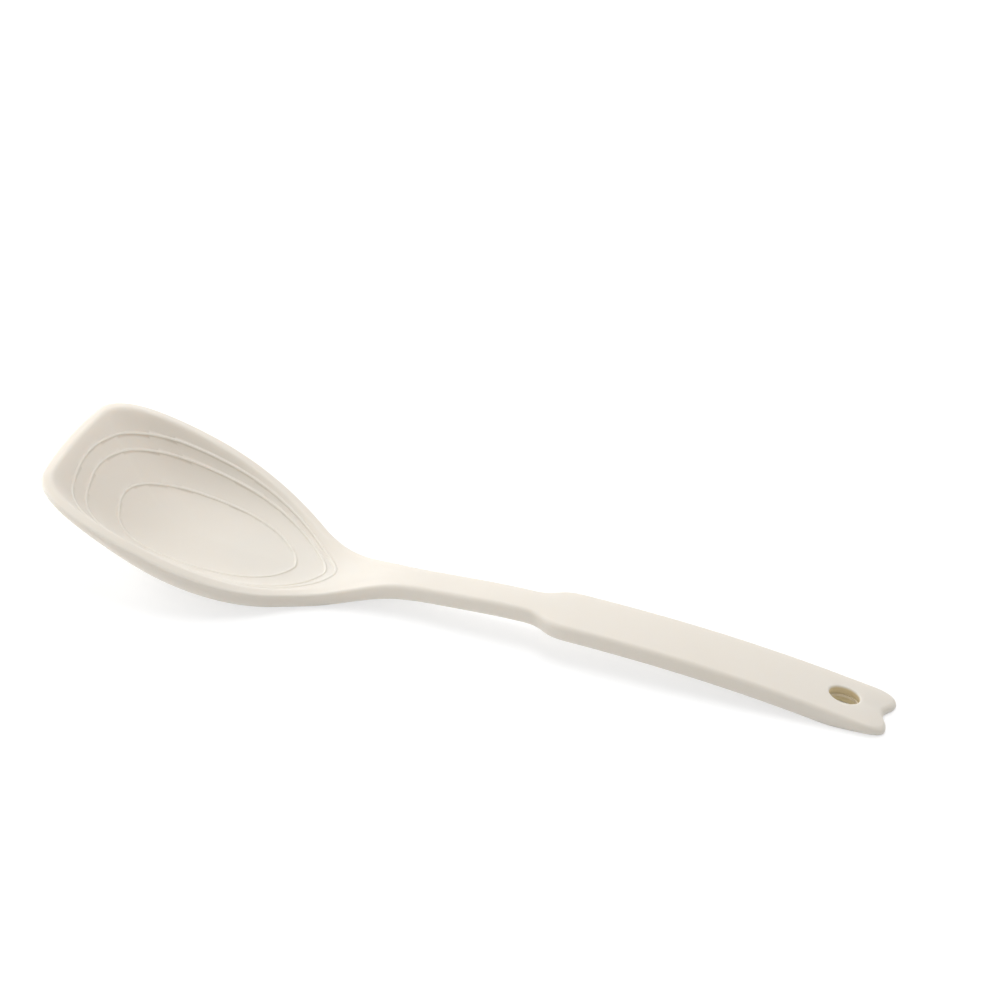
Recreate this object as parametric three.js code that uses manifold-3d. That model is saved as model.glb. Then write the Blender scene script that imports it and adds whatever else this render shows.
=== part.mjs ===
// A silicone spatula spoon: one silicone skin moulded round a stamped steel core.
// Millimetres, +Z up. The spoon lies bowl upwards on its heel and the end of its handle,
// tip towards -X and handle towards +X, with the origin under the middle of its length.
import * as THREE from 'three';
import { mergeVertices } from 'three/addons/utils/BufferGeometryUtils.js';
import Module from 'manifold-3d';

// Plan outline. Places along the spoon are distances from its tip.
const LENGTH = 310;
const HEAD_WIDTH = 75;
const HEAD_WIDEST_AT = 42.2;
const TIP_EDGE_WIDTH = 43;
const TIP_BOW = 1.3;
const CORNER_REACH = 12.7;
const CORNER_WIDTH = 67.6;
const FLARE_AT = 90.4;
const FLARE_WIDTH = 45.8;
const NECK_FROM = 140.6;
const NECK_WIDTH = 12.4;
const SHOULDER_FROM = 177.8;
const SHOULDER_RUN = 18.1;
const GRIP_WIDTH = 21.2;
const END_WIDTH = 22;
const LOBE_LENGTH = 8;
const LOBE_SPREAD = 14;
const NOTCH_DEPTH = 2.6;

// Side profile. Heights are those of the top edge over the table.
const TIP_HEIGHT = 37.7;
const HEEL_AT = 101.5;
const HEEL_HEIGHT = 6.1;
const NECK_FOOT_AT = 128.6;
const NECK_FOOT_HEIGHT = 11.5;
const NECK_MID_AT = 150.7;
const NECK_MID_HEIGHT = 13.6;
const CREST_AT = 178;
const CREST_HEIGHT = 14.9;
const END_HEIGHT = 2.9;

// Bowl and walls.
const BOWL_CENTRE_AT = 45.2;
const BOWL_DEPTH = 14.6;
const BOWL_END_AT = 115.5;
const FLOOR_THICKNESS = 4.7;
const TIP_LIP_THICKNESS = 2.8;
const SIDE_LIP_THICKNESS = 7.2;
const HEEL_LIP_THICKNESS = 5.6;
const LIP_ROUND = 1.1;
const LIP_LAND = 1;
const LIP_EASE = 1;
const NECK_THICKNESS = 6.8;
const GRIP_THICKNESS = 7;
const END_THICKNESS = 3.5;
const END_TAPER = 22;
const HANDLE_ROUND = 1.9;

// How sharply the curves turn, as powers, and how far along the head its side is reached.
const HEEL_TURN = 4;
const ARCH_TURN = 2.26;
const BOWL_RUN_OUT = 1.5;
const TIP_WALL_TURN = 1.8;
const SIDE_WALL_TURN = 3.3;
const SIDE_WALL_SHARE = 0.45;
const SIDE_LIP_SHARE = 1.3;
const COLUMN_FAN = 1.8;
const BEAD_TURN = 5;

// Pulls of the outline's curves, as shares of the run that each of them covers.
const CORNER_PULLS = [0.3, 0.6, 0.3];
const SIDE_PULLS = [0.24, 0.18, 0.37];
const REAR_PULLS = [0.44, 0.22, 0.77];
const FLARE_FALL_SHARE = 0.6;
const FLARE_PULLS = [0.28, 0.36];
const SHOULDER_PULLS = [0.55, 0.4];
const LOBE_PULLS = [0.4, 0.65];
const NOTCH_PULLS = [0.57, 0.37];

// Three raised beads run round the inside of the bowl, as shares of the way from lip to middle.
const BEAD_SHARES = [0.16, 0.25, 0.475];
const BEAD_ENDS_AT = [104.5, 100.5, 88.9];
const BEAD_CORNER = 0.03;
const BEAD_RADIUS = 0.6;
const BEAD_HEIGHT = 0.35;

// Hang hole, an oval with eased edges near the end of the handle.
const HOLE_LENGTH = 11;
const HOLE_WIDTH = 7.7;
const HOLE_FROM_END = 17.1;
const HOLE_ROUND = 0.5;

// Steel core: a stamped strip with a leaf in the bowl's floor, slots, and an eye at the hang hole.
const CORE_THICKNESS = 1;
const CORE_CLEARANCE = 0.3;
const CORE_FROM = 64;
const LEAF_WIDTH = 27;
const LEAF_LENGTH = 26;
const CORE_NECK_WIDTH = 6.6;
const CORE_GRIP_WIDTH = 14;
const CORE_END_MARGIN = 7;
const EYE_LEDGE = 0.4;
const SLOT_LENGTH = 17;
const SLOT_WIDTH = 5;
const SLOT_PITCH = 25;
const SLOT_COUNT = 3;
const LEAF_HOLE_DIAMETER = 5;
const LEAF_HOLE_SPACING = 13;

// Fineness of the faceted form.
const OUTLINE_STEPS = [4, 6, 4, 9, 9, 3, 6, 7, 5, 4];
const TOP_SHARES = [1, 0.78, 0.6, 0.45, 0.32, 0.22, 0.14, 0.08, 0.035];
const BOTTOM_SHARES = [0.08, 0.18, 0.3, 0.45, 0.65, 1];
const EDGE_STEPS = 3;
const BEAD_STEPS = 64;
const BEAD_SIDES = 5;
const HOLE_SIDES = 32;
const SLOT_SIDES = 16;

const HOLE_AT = LENGTH - HOLE_FROM_END;
const END_FROM = LENGTH - 2.5 * LOBE_LENGTH;

const wasm = await Module();
wasm.setup();

const clamp01 = (value) => Math.min(1, Math.max(0, value));
const ease = (from, to, value) => {
  const share = clamp01((value - from) / (to - from));
  return share * share * (3 - 2 * share);
};
const mix = (a, b, share) => a + (b - a) * share;

// A smooth curve through stations [place, value], level at its first and last one.
function smoothThrough(stations) {
  const slopes = stations.map((station, i) => {
    const before = stations[i - 1];
    const after = stations[i + 1];
    if (!before || !after) return 0;
    return (after[1] - before[1]) / (after[0] - before[0]);
  });
  return (place) => {
    let i = 0;
    while (i < stations.length - 2 && place > stations[i + 1][0]) i += 1;
    const [x0, y0] = stations[i];
    const [x1, y1] = stations[i + 1];
    const run = x1 - x0;
    const t = clamp01((place - x0) / run);
    const rise = y1 - y0;
    const bend0 = slopes[i] * run - rise;
    const bend1 = rise - slopes[i + 1] * run;
    return y0 + rise * t + t * (1 - t) * (bend0 * (1 - t) + bend1 * t);
  };
}

// Height of the top edge: a straight fall from the tip that rounds out at the heel,
// a climb up the neck to the crest, and an arch down to the handle's end.
const neckRise = smoothThrough([
  [HEEL_AT, HEEL_HEIGHT],
  [NECK_FOOT_AT, NECK_FOOT_HEIGHT],
  [NECK_MID_AT, NECK_MID_HEIGHT],
  [CREST_AT, CREST_HEIGHT],
]);
function topHeight(place) {
  if (place < HEEL_AT) {
    const share = Math.max(0, place) / HEEL_AT;
    return HEEL_HEIGHT + (TIP_HEIGHT - HEEL_HEIGHT) * (1 - share) * (1 - share ** HEEL_TURN);
  }
  if (place < CREST_AT) return neckRise(place);
  const share = (place - CREST_AT) / (LENGTH - CREST_AT);
  return CREST_HEIGHT - (CREST_HEIGHT - END_HEIGHT) * share ** ARCH_TURN;
}

// Depth of the bowl's middle line below its edges, running out into the neck.
function bowlDepth(place) {
  const share = clamp01((place - BOWL_CENTRE_AT) / (BOWL_END_AT - BOWL_CENTRE_AT));
  return BOWL_DEPTH * (1 - share) ** BOWL_RUN_OUT;
}

// Thickness along the middle line, and at the edge where the lip is thinner than the floor.
const endTaper = (place) => ease(LENGTH - END_TAPER, LENGTH, place);
const handleThickness = (place) => {
  const grown = ease(SHOULDER_FROM, SHOULDER_FROM + SHOULDER_RUN, place);
  return mix(mix(NECK_THICKNESS, GRIP_THICKNESS, grown), END_THICKNESS, endTaper(place));
};
const floorThickness = (place) => {
  const thickened = ease(FLARE_AT, NECK_FOOT_AT, place);
  return mix(FLOOR_THICKNESS, handleThickness(place), thickened);
};
const edgeThickness = (place) => {
  const thickest = SIDE_LIP_SHARE * HEAD_WIDEST_AT;
  const front = mix(TIP_LIP_THICKNESS, SIDE_LIP_THICKNESS, ease(0, thickest, place));
  const lip = mix(front, HEEL_LIP_THICKNESS, ease(thickest, HEEL_AT, place));
  return mix(lip, handleThickness(place), ease(FLARE_AT, NECK_FROM, place));
};
const edgeRound = (place) => mix(LIP_ROUND, HANDLE_ROUND, ease(FLARE_AT, NECK_FROM, place));
const lowerRound = (place) => 0.9 * Math.min(HANDLE_ROUND, edgeThickness(place) - edgeRound(place));

// Half of the plan outline, from the middle of the tip along +Y to the notch in the handle's end.
function halfOutline() {
  const at = (x, width) => new THREE.Vector2(x, width / 2);
  const tipTurn = (4 * TIP_BOW) / TIP_EDGE_WIDTH;
  const cornerRun = CORNER_PULLS[0] * TIP_EDGE_WIDTH;
  const tip = at(0, 0);
  const tipCorner = at(TIP_BOW, TIP_EDGE_WIDTH);
  const corner = at(CORNER_REACH, CORNER_WIDTH);
  const widest = at(HEAD_WIDEST_AT, HEAD_WIDTH);
  const flare = at(FLARE_AT, FLARE_WIDTH);
  const neck = at(NECK_FROM, NECK_WIDTH);
  const shoulder = at(SHOULDER_FROM, NECK_WIDTH);
  const grip = at(SHOULDER_FROM + SHOULDER_RUN, GRIP_WIDTH);
  const lobe = at(LENGTH - LOBE_LENGTH, END_WIDTH);
  const lobeTip = at(LENGTH, LOBE_SPREAD);
  const notch = at(LENGTH - NOTCH_DEPTH, 0);
  const sideRun = HEAD_WIDEST_AT - CORNER_REACH;
  const rearRun = FLARE_AT - HEAD_WIDEST_AT;
  const flareRun = NECK_FROM - FLARE_AT;
  const flareFall = (FLARE_WIDTH - NECK_WIDTH) * FLARE_FALL_SHARE;
  const curve = (from, fromPull, toPull, to) => new THREE.CubicBezierCurve(from, fromPull, toPull, to);
  const pieces = [
    new THREE.QuadraticBezierCurve(tip, at(0, TIP_EDGE_WIDTH / 2), tipCorner),
    curve(
      tipCorner,
      at(TIP_BOW + tipTurn * cornerRun / 2, TIP_EDGE_WIDTH + cornerRun),
      at(CORNER_REACH * CORNER_PULLS[1], CORNER_WIDTH - CORNER_REACH * CORNER_PULLS[2]),
      corner,
    ),
    curve(
      corner,
      at(CORNER_REACH + sideRun * SIDE_PULLS[0], CORNER_WIDTH + sideRun * SIDE_PULLS[1]),
      at(HEAD_WIDEST_AT - sideRun * SIDE_PULLS[2], HEAD_WIDTH),
      widest,
    ),
    curve(
      widest,
      at(HEAD_WIDEST_AT + rearRun * REAR_PULLS[0], HEAD_WIDTH),
      at(FLARE_AT - flareRun * REAR_PULLS[1], FLARE_WIDTH + flareFall * REAR_PULLS[2]),
      flare,
    ),
    curve(
      flare,
      at(FLARE_AT + flareRun * FLARE_PULLS[0], FLARE_WIDTH - flareFall),
      at(NECK_FROM - flareRun * FLARE_PULLS[1], NECK_WIDTH),
      neck,
    ),
    new THREE.LineCurve(neck, shoulder),
    curve(
      shoulder,
      at(SHOULDER_FROM + SHOULDER_RUN * SHOULDER_PULLS[0], NECK_WIDTH),
      at(SHOULDER_FROM + SHOULDER_RUN * SHOULDER_PULLS[1], GRIP_WIDTH),
      grip,
    ),
    new THREE.LineCurve(grip, lobe),
    curve(
      lobe,
      at(LENGTH - LOBE_LENGTH * LOBE_PULLS[0], END_WIDTH),
      at(LENGTH, mix(LOBE_SPREAD, END_WIDTH, LOBE_PULLS[1])),
      lobeTip,
    ),
    curve(
      lobeTip,
      at(LENGTH, LOBE_SPREAD * NOTCH_PULLS[0]),
      at(LENGTH - NOTCH_DEPTH, LOBE_SPREAD * NOTCH_PULLS[1]),
      notch,
    ),
  ];
  const points = [];
  pieces.forEach((piece, k) => {
    const steps = OUTLINE_STEPS[k];
    for (let i = 0; i < steps; i += 1) points.push(piece.getPoint(i / steps));
  });
  points.push(notch);
  return points;
}

// Columns run like fish bones from the outline in to the middle line. In the head they
// fan out from the bowl's centre, and at the handle's end they close up behind the notch.
function makeColumns() {
  const outline = halfOutline();
  const lengths = [0];
  for (let i = 1; i < outline.length; i += 1) {
    lengths.push(lengths[i - 1] + outline[i].distanceTo(outline[i - 1]));
  }
  const cornerAt = lengths[outline.findIndex((point) => point.x > CORNER_REACH / 3)];
  const neckIndex = outline.findIndex((point) => point.x >= NECK_FROM - 1e-6);
  const endIndex = outline.findIndex((point) => point.x >= END_FROM);
  const spineEnd = Math.max(LENGTH - 2 * LOBE_LENGTH, outline[endIndex].x + LOBE_LENGTH / 4);
  return outline.map((point, i) => {
    const headShare = lengths[i] / lengths[neckIndex];
    let spine = point.x;
    if (i < neckIndex) {
      spine = mix(BOWL_CENTRE_AT, outline[neckIndex].x, headShare ** COLUMN_FAN);
    } else if (i > endIndex) {
      const endShare = (lengths[i] - lengths[endIndex]) / (lengths.at(-1) - lengths[endIndex]);
      spine = mix(spineEnd, outline[endIndex].x, (1 - endShare) ** COLUMN_FAN);
    }
    const wallPower = mix(TIP_WALL_TURN, SIDE_WALL_TURN, ease(0, SIDE_WALL_SHARE, headShare));
    const fromCorner = (4 * (lengths[i] - cornerAt)) / CORNER_WIDTH;
    const cornerShare = Math.exp(-(fromCorner ** 2));
    return { edge: point, spine, wallPower, cornerShare };
  });
}
const columns = makeColumns();

const columnLength = ({ edge, spine }) => Math.hypot(edge.x - spine, edge.y);
const placeAt = (column, inset) => mix(column.edge.x, column.spine, inset / columnLength(column));

// A point of the column at an inset from the outline, at a height, on the +Y or -Y side.
function columnPoint(column, inset, height, side) {
  const across = column.edge.y * (1 - inset / columnLength(column));
  return new THREE.Vector3(placeAt(column, inset), side * across, height);
}

// In the head the rim's heights run on over its edges. On the handle both faces are level
// across, and follow the side profile.
const onHandle = (column) => column.edge.x >= NECK_FROM;
const rimHeight = (column, inset) => topHeight(onHandle(column) ? placeAt(column, inset) : column.edge.x);
const rimThickness = (column, inset) => (
  edgeThickness(onHandle(column) ? placeAt(column, inset) : column.edge.x)
);

// The inside of the bowl falls from a lip with a level land and flattens towards the middle line.
function topAt(column, inset) {
  if (onHandle(column)) return rimHeight(column, inset);
  const start = edgeRound(column.edge.x) + LIP_LAND;
  const eased = Math.hypot(Math.max(0, inset - start), LIP_EASE) - LIP_EASE;
  const easedRun = Math.hypot(columnLength(column) - start, LIP_EASE) - LIP_EASE;
  const from = topHeight(column.edge.x);
  const to = topHeight(column.spine) - bowlDepth(column.spine);
  return mix(from, to, 1 - (1 - clamp01(eased / easedRun)) ** column.wallPower);
}
function bottomAt(column, inset) {
  if (onHandle(column)) return rimHeight(column, inset) - rimThickness(column, inset);
  const start = lowerRound(column.edge.x);
  const share = clamp01((inset - start) / (columnLength(column) - start));
  const from = topHeight(column.edge.x) - edgeThickness(column.edge.x);
  const to = topHeight(column.spine) - bowlDepth(column.spine) - floorThickness(column.spine);
  return mix(from, to, 1 - (1 - share) ** column.wallPower);
}

// One closed row of points all round the spoon, from a function of the column.
function row(place) {
  const far = columns.map((column) => place(column, 1));
  const near = columns.slice(1, -1).map((column) => place(column, -1)).reverse();
  return [...far, ...near];
}
const topRow = (share) => row((column, side) => {
  const start = edgeRound(column.edge.x);
  const inset = mix(start, columnLength(column), share);
  return columnPoint(column, inset, topAt(column, inset), side);
});
const bottomRow = (share) => row((column, side) => {
  const start = lowerRound(column.edge.x);
  const inset = mix(start, columnLength(column), share);
  return columnPoint(column, inset, bottomAt(column, inset), side);
});
const upperEdgeRow = (angle) => row((column, side) => {
  const radius = edgeRound(column.edge.x);
  const inset = radius * (1 - Math.sin(angle));
  const drop = radius * (1 - Math.cos(angle));
  return columnPoint(column, inset, rimHeight(column, inset) - drop, side);
});
const lowerEdgeRow = (angle) => row((column, side) => {
  const radius = lowerRound(column.edge.x);
  const inset = radius * (1 - Math.cos(angle));
  const drop = rimThickness(column, inset) - radius * (1 - Math.sin(angle));
  return columnPoint(column, inset, rimHeight(column, inset) - drop, side);
});

// A closed solid from closed rows of points, each row joined to the next one.
function solidFromRows(rows, closed = false) {
  const count = rows[0].length;
  const positions = rows.flat().flatMap((point) => [point.x, point.y, point.z]);
  const index = [];
  const last = closed ? rows.length : rows.length - 1;
  for (let r = 0; r < last; r += 1) {
    const here = r * count;
    const next = ((r + 1) % rows.length) * count;
    for (let i = 0; i < count; i += 1) {
      const j = (i + 1) % count;
      index.push(here + i, next + i, next + j, here + i, next + j, here + j);
    }
  }
  const geometry = new THREE.BufferGeometry();
  geometry.setAttribute('position', new THREE.Float32BufferAttribute(positions, 3));
  geometry.setIndex(index);
  return toSolid(geometry);
}

// A three.js geometry as a solid for joining and cutting, with its faces turned outwards.
function toSolid(geometry) {
  const bare = geometry.index ? geometry : geometry.clone();
  bare.deleteAttribute('normal');
  bare.deleteAttribute('uv');
  const merged = mergeVertices(bare, 1e-4);
  const points = merged.attributes.position.array;
  const faces = [];
  for (let i = 0; i < merged.index.count; i += 3) {
    const [a, b, c] = [0, 1, 2].map((k) => merged.index.getX(i + k));
    if (a !== b && b !== c && c !== a) faces.push([a, b, c]);
  }
  const corner = (k) => new THREE.Vector3().fromArray(points, 3 * k);
  const sixfold = ([a, b, c]) => corner(a).dot(corner(b).cross(corner(c)));
  const volume = faces.reduce((sum, face) => sum + sixfold(face), 0);
  const triangles = faces.flatMap(([a, b, c]) => (volume > 0 ? [a, b, c] : [a, c, b]));
  return new wasm.Manifold(new wasm.Mesh({
    numProp: 3,
    vertProperties: new Float32Array(points),
    triVerts: new Uint32Array(triangles),
  }));
}

function toGeometry(solid) {
  const { vertProperties, triVerts } = solid.getMesh();
  const geometry = new THREE.BufferGeometry();
  geometry.setAttribute('position', new THREE.BufferAttribute(new Float32Array(vertProperties), 3));
  geometry.setIndex(new THREE.BufferAttribute(new Uint32Array(triVerts), 1));
  geometry.computeVertexNormals();
  return geometry;
}

// The outside of the spoon, from the bowl's middle line out over the lip and back underneath.
function spoonBody() {
  const angles = Array.from({ length: EDGE_STEPS + 1 }, (_, i) => Math.PI * i / (2 * EDGE_STEPS));
  const rows = [
    ...TOP_SHARES.map(topRow),
    ...angles.map(upperEdgeRow),
    ...angles.map(lowerEdgeRow),
    ...BOTTOM_SHARES.map(bottomRow),
  ];
  return solidFromRows(rows);
}

// A bead is a round cord half sunk in the bowl's surface. It keeps its share of the way in
// from the lip, and closes across the middle line towards the neck.
function bead(share, endAt) {
  const onSurface = (column, inward, side) => {
    const inset = inward * columnLength(column);
    return columnPoint(column, inset, topAt(column, inset), side);
  };
  const half = columns.filter((column) => column.spine < endAt - 1).map((column) => {
    const along = (column.spine - BOWL_CENTRE_AT) / (endAt - BOWL_CENTRE_AT);
    const rounded = share + BEAD_CORNER * column.cornerShare;
    return [column, 1 - (1 - rounded) * Math.sqrt(1 - along ** BEAD_TURN)];
  });
  const far = half.map(([column, inward]) => onSurface(column, inward, 1));
  const near = half.slice(1).map(([column, inward]) => onSurface(column, inward, -1)).reverse();
  const end = new THREE.Vector3(endAt, 0, topHeight(endAt) - bowlDepth(endAt));
  const path = new THREE.CatmullRomCurve3([...far, end, ...near], true);
  const up = new THREE.Vector3(0, 0, 1);
  const rows = [];
  for (let i = 0; i < BEAD_STEPS; i += 1) {
    const centre = path.getPointAt(i / BEAD_STEPS);
    const forward = path.getTangentAt(i / BEAD_STEPS);
    const across = new THREE.Vector3().crossVectors(up, forward).normalize();
    const over = new THREE.Vector3().crossVectors(forward, across);
    centre.addScaledVector(over, BEAD_HEIGHT - BEAD_RADIUS);
    rows.push(Array.from({ length: BEAD_SIDES }, (_, k) => {
      const angle = 2 * Math.PI * (k + 0.5) / BEAD_SIDES;
      return centre.clone()
        .addScaledVector(across, BEAD_RADIUS * Math.cos(angle))
        .addScaledVector(over, BEAD_RADIUS * Math.sin(angle));
    }));
  }
  return solidFromRows(rows, true);
}

// The hang hole's ellipse, grown by an offset.
function holePoints(grow) {
  return Array.from({ length: HOLE_SIDES }, (_, i) => {
    const angle = 2 * Math.PI * (i + 0.5) / HOLE_SIDES;
    const along = (HOLE_LENGTH / 2 + grow) * Math.cos(angle);
    return new THREE.Vector2(HOLE_AT + along, (HOLE_WIDTH / 2 + grow) * Math.sin(angle));
  });
}

// A slot with round ends, shrunk by an offset, centred on a place along the spoon.
function slotPoints(place, across, length, width, shrink) {
  const radius = width / 2 - shrink;
  const straight = (length - width) / 2;
  return Array.from({ length: SLOT_SIDES }, (_, i) => {
    const angle = 2 * Math.PI * (i + 0.5) / SLOT_SIDES;
    const end = Math.sign(Math.cos(angle)) * straight;
    return new THREE.Vector2(place + end + radius * Math.cos(angle), across + radius * Math.sin(angle));
  });
}

// The hang hole's cutter: it follows both faces of the handle and eases both edges.
function hangHole() {
  const ring = (grow, height) => holePoints(grow)
    .map((point) => new THREE.Vector3(point.x, point.y, height(point.x)));
  const cap = (height) => Array.from({ length: HOLE_SIDES }, () => (
    new THREE.Vector3(HOLE_AT, 0, height(HOLE_AT))
  ));
  const top = (lift) => (place) => topHeight(place) + lift;
  const bottom = (lift) => (place) => topHeight(place) - handleThickness(place) + lift;
  const flare = (angle) => HOLE_ROUND * (1 - Math.cos(angle));
  const sink = (angle) => HOLE_ROUND * (1 - Math.sin(angle));
  const angles = [0, 0.25, 0.5].map((share) => share * Math.PI);
  const upper = angles.map((angle) => ring(flare(angle), top(-sink(angle)))).reverse();
  const lower = angles.map((angle) => ring(flare(angle), bottom(sink(angle))));
  const mouth = 2 * HOLE_ROUND;
  const beyond = END_THICKNESS / 2;
  return solidFromRows([
    cap(top(beyond)),
    ring(mouth, top(beyond)),
    ring(mouth, top(HOLE_ROUND)),
    ...upper,
    ...lower,
    ring(mouth, bottom(-HOLE_ROUND)),
    ring(mouth, bottom(-beyond)),
    cap(bottom(-beyond)),
  ]);
}

// Plan of the steel core, grown by an offset. Its holes shrink by the same offset.
function corePlan(grow) {
  const neck = CORE_NECK_WIDTH / 2 + grow;
  const grip = CORE_GRIP_WIDTH / 2 + grow;
  const leaf = LEAF_WIDTH / 2 + grow;
  const from = CORE_FROM - grow;
  const end = LENGTH - CORE_END_MARGIN + grow;
  const leafWide = CORE_FROM + LEAF_LENGTH * 0.6;
  const leafEnd = CORE_FROM + LEAF_LENGTH * 1.3;
  const stepFrom = SHOULDER_FROM + SHOULDER_RUN / 3;
  const stepTo = SHOULDER_FROM + SHOULDER_RUN * 1.2;
  const stepMid = (stepFrom + stepTo) / 2;
  const shape = new THREE.Shape();
  shape.moveTo(from, 0);
  shape.bezierCurveTo(from, leaf * 0.6, from + LEAF_LENGTH * 0.3, leaf, leafWide, leaf);
  shape.bezierCurveTo(leafEnd, leaf, leafEnd, neck, NECK_FOOT_AT, neck);
  shape.lineTo(stepFrom, neck);
  shape.bezierCurveTo(stepMid, neck, stepMid, grip, stepTo, grip);
  shape.lineTo(end - grip, grip);
  shape.absarc(end - grip, 0, grip, Math.PI / 2, -Math.PI / 2, true);
  shape.lineTo(stepTo, -grip);
  shape.bezierCurveTo(stepMid, -grip, stepMid, -neck, stepFrom, -neck);
  shape.lineTo(NECK_FOOT_AT, -neck);
  shape.bezierCurveTo(leafEnd, -neck, leafEnd, -leaf, leafWide, -leaf);
  shape.bezierCurveTo(from + LEAF_LENGTH * 0.3, -leaf, from, -leaf * 0.6, from, 0);
  const slotFrom = HOLE_AT - (HOLE_LENGTH + SLOT_PITCH + SLOT_LENGTH) / 2;
  const holes = [holePoints(-EYE_LEDGE - grow)];
  for (let i = 0; i < SLOT_COUNT; i += 1) {
    holes.push(slotPoints(slotFrom - i * SLOT_PITCH, 0, SLOT_LENGTH, SLOT_WIDTH, grow));
  }
  for (const side of [-1, 0, 1]) {
    const place = side ? leafWide : CORE_FROM + LEAF_LENGTH * 0.3;
    const across = side * LEAF_HOLE_SPACING / 2;
    holes.push(slotPoints(place, across, LEAF_HOLE_DIAMETER, LEAF_HOLE_DIAMETER, grow));
  }
  for (const hole of holes) shape.holes.push(new THREE.Path(hole));
  return shape;
}

// The core's sheet lies midway between the spoon's top and bottom, bent as they are.
function coreSheet(thickness) {
  const sheetFrom = mix(BOWL_CENTRE_AT, CORE_FROM, 0.3);
  const sheetEnd = LENGTH - CORE_END_MARGIN / 2;
  const bent = columns.filter(({ edge, spine }) => spine > sheetFrom && edge.x < END_FROM);
  const straight = [0, 0.25, 0.5, 0.75, 1].map((share) => {
    const place = mix(END_FROM, sheetEnd, share);
    return { edge: new THREE.Vector2(place, END_WIDTH / 2), spine: place };
  });
  const sheetColumns = [...bent, ...straight];
  const far = [0.25, 0.5, 0.75, 1].map((share) => [share, 1]);
  const near = [0.75, 0.5, 0.25].map((share) => [share, -1]);
  const across = [...far, ...near];
  const layer = (column, lift) => across.map(([share, side]) => {
    const inset = share * columnLength(column);
    const middle = (topAt(column, inset) + bottomAt(column, inset)) / 2;
    return columnPoint(column, inset, middle + lift, side);
  });
  const section = (column, height) => [
    ...layer(column, height / 2),
    ...layer(column, -height / 2).reverse(),
  ];
  return solidFromRows([
    section(sheetColumns[0], 0),
    ...sheetColumns.map((column) => section(column, thickness)),
    section(sheetColumns.at(-1), 0),
  ]);
}
function coreSolid(grow) {
  const plan = new THREE.ExtrudeGeometry(corePlan(grow), {
    depth: TIP_HEIGHT,
    bevelEnabled: false,
    curveSegments: 10,
  });
  plan.translate(0, 0, -NECK_THICKNESS);
  return coreSheet(CORE_THICKNESS + 2 * grow).intersect(toSolid(plan));
}

// The underside is cut level where the spoon rests on the table.
function tableBlock() {
  const depth = 2 * NECK_THICKNESS;
  const block = new THREE.BoxGeometry(2 * LENGTH, 2 * HEAD_WIDTH, depth);
  block.translate(LENGTH / 2, 0, -depth / 2);
  return toSolid(block);
}

function siliconeSkin() {
  let skin = spoonBody();
  BEAD_SHARES.forEach((share, i) => {
    skin = skin.add(bead(share, BEAD_ENDS_AT[i]));
  });
  return skin.subtract(tableBlock()).subtract(hangHole()).subtract(coreSolid(CORE_CLEARANCE));
}

const silicone = new THREE.MeshStandardMaterial({ color: '#e9e4d8', roughness: 0.55, metalness: 0 });
const steel = new THREE.MeshStandardMaterial({ color: '#b9bcbd', roughness: 0.35, metalness: 1 });

const spoon = new THREE.Group();
const skinMesh = new THREE.Mesh(toGeometry(siliconeSkin()), silicone);
skinMesh.name = 'silicone_skin';
const coreMesh = new THREE.Mesh(toGeometry(coreSolid(0)), steel);
coreMesh.name = 'steel_core';
spoon.add(skinMesh, coreMesh);
spoon.position.x = -LENGTH / 2;

export default spoon;
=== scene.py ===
import bisect
import math

import bpy
from mathutils import Euler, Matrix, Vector
from mathutils.geometry import interpolate_bezier


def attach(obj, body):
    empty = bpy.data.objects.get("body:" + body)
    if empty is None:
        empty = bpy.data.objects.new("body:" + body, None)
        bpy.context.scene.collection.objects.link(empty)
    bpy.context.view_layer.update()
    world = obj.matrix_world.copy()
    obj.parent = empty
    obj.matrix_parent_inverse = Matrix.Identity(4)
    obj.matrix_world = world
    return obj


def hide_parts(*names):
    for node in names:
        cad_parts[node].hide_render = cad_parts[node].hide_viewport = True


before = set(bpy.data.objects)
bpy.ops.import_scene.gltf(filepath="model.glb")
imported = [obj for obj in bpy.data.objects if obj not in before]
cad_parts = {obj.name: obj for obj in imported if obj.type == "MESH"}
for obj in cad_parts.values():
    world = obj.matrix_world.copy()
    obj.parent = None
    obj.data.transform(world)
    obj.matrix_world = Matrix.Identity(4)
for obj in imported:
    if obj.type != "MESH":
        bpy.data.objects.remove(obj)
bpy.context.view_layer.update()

# Silicone skin.
# The whole spoon outside its core is one cured moulding of cream food silicone: scoop,
# neck and handle in one, pressed in a two-part mould with three raised beads in the bowl.

MM = 0.001
LENGTH = 310.0
HEAD_WIDTH = 75.0
HEAD_WIDEST_AT = 42.2
TIP_EDGE_WIDTH = 43.0
TIP_BOW = 1.3
CORNER_REACH = 12.7
CORNER_WIDTH = 67.6
FLARE_AT = 90.4
FLARE_WIDTH = 45.8
NECK_FROM = 140.6
NECK_WIDTH = 12.4
SHOULDER_FROM = 177.8
SHOULDER_RUN = 18.1
GRIP_WIDTH = 21.2
END_WIDTH = 22.0
LOBE_LENGTH = 8.0
LOBE_SPREAD = 14.0
NOTCH_DEPTH = 2.6

TIP_HEIGHT = 37.7
HEEL_AT = 101.5
HEEL_HEIGHT = 6.1
NECK_FOOT_AT = 128.6
NECK_FOOT_HEIGHT = 11.5
NECK_MID_AT = 150.7
NECK_MID_HEIGHT = 13.6
CREST_AT = 178.0
CREST_HEIGHT = 14.9
END_HEIGHT = 2.9
TIP_CURL = 4
ARCH_TURN = 2.26

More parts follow.
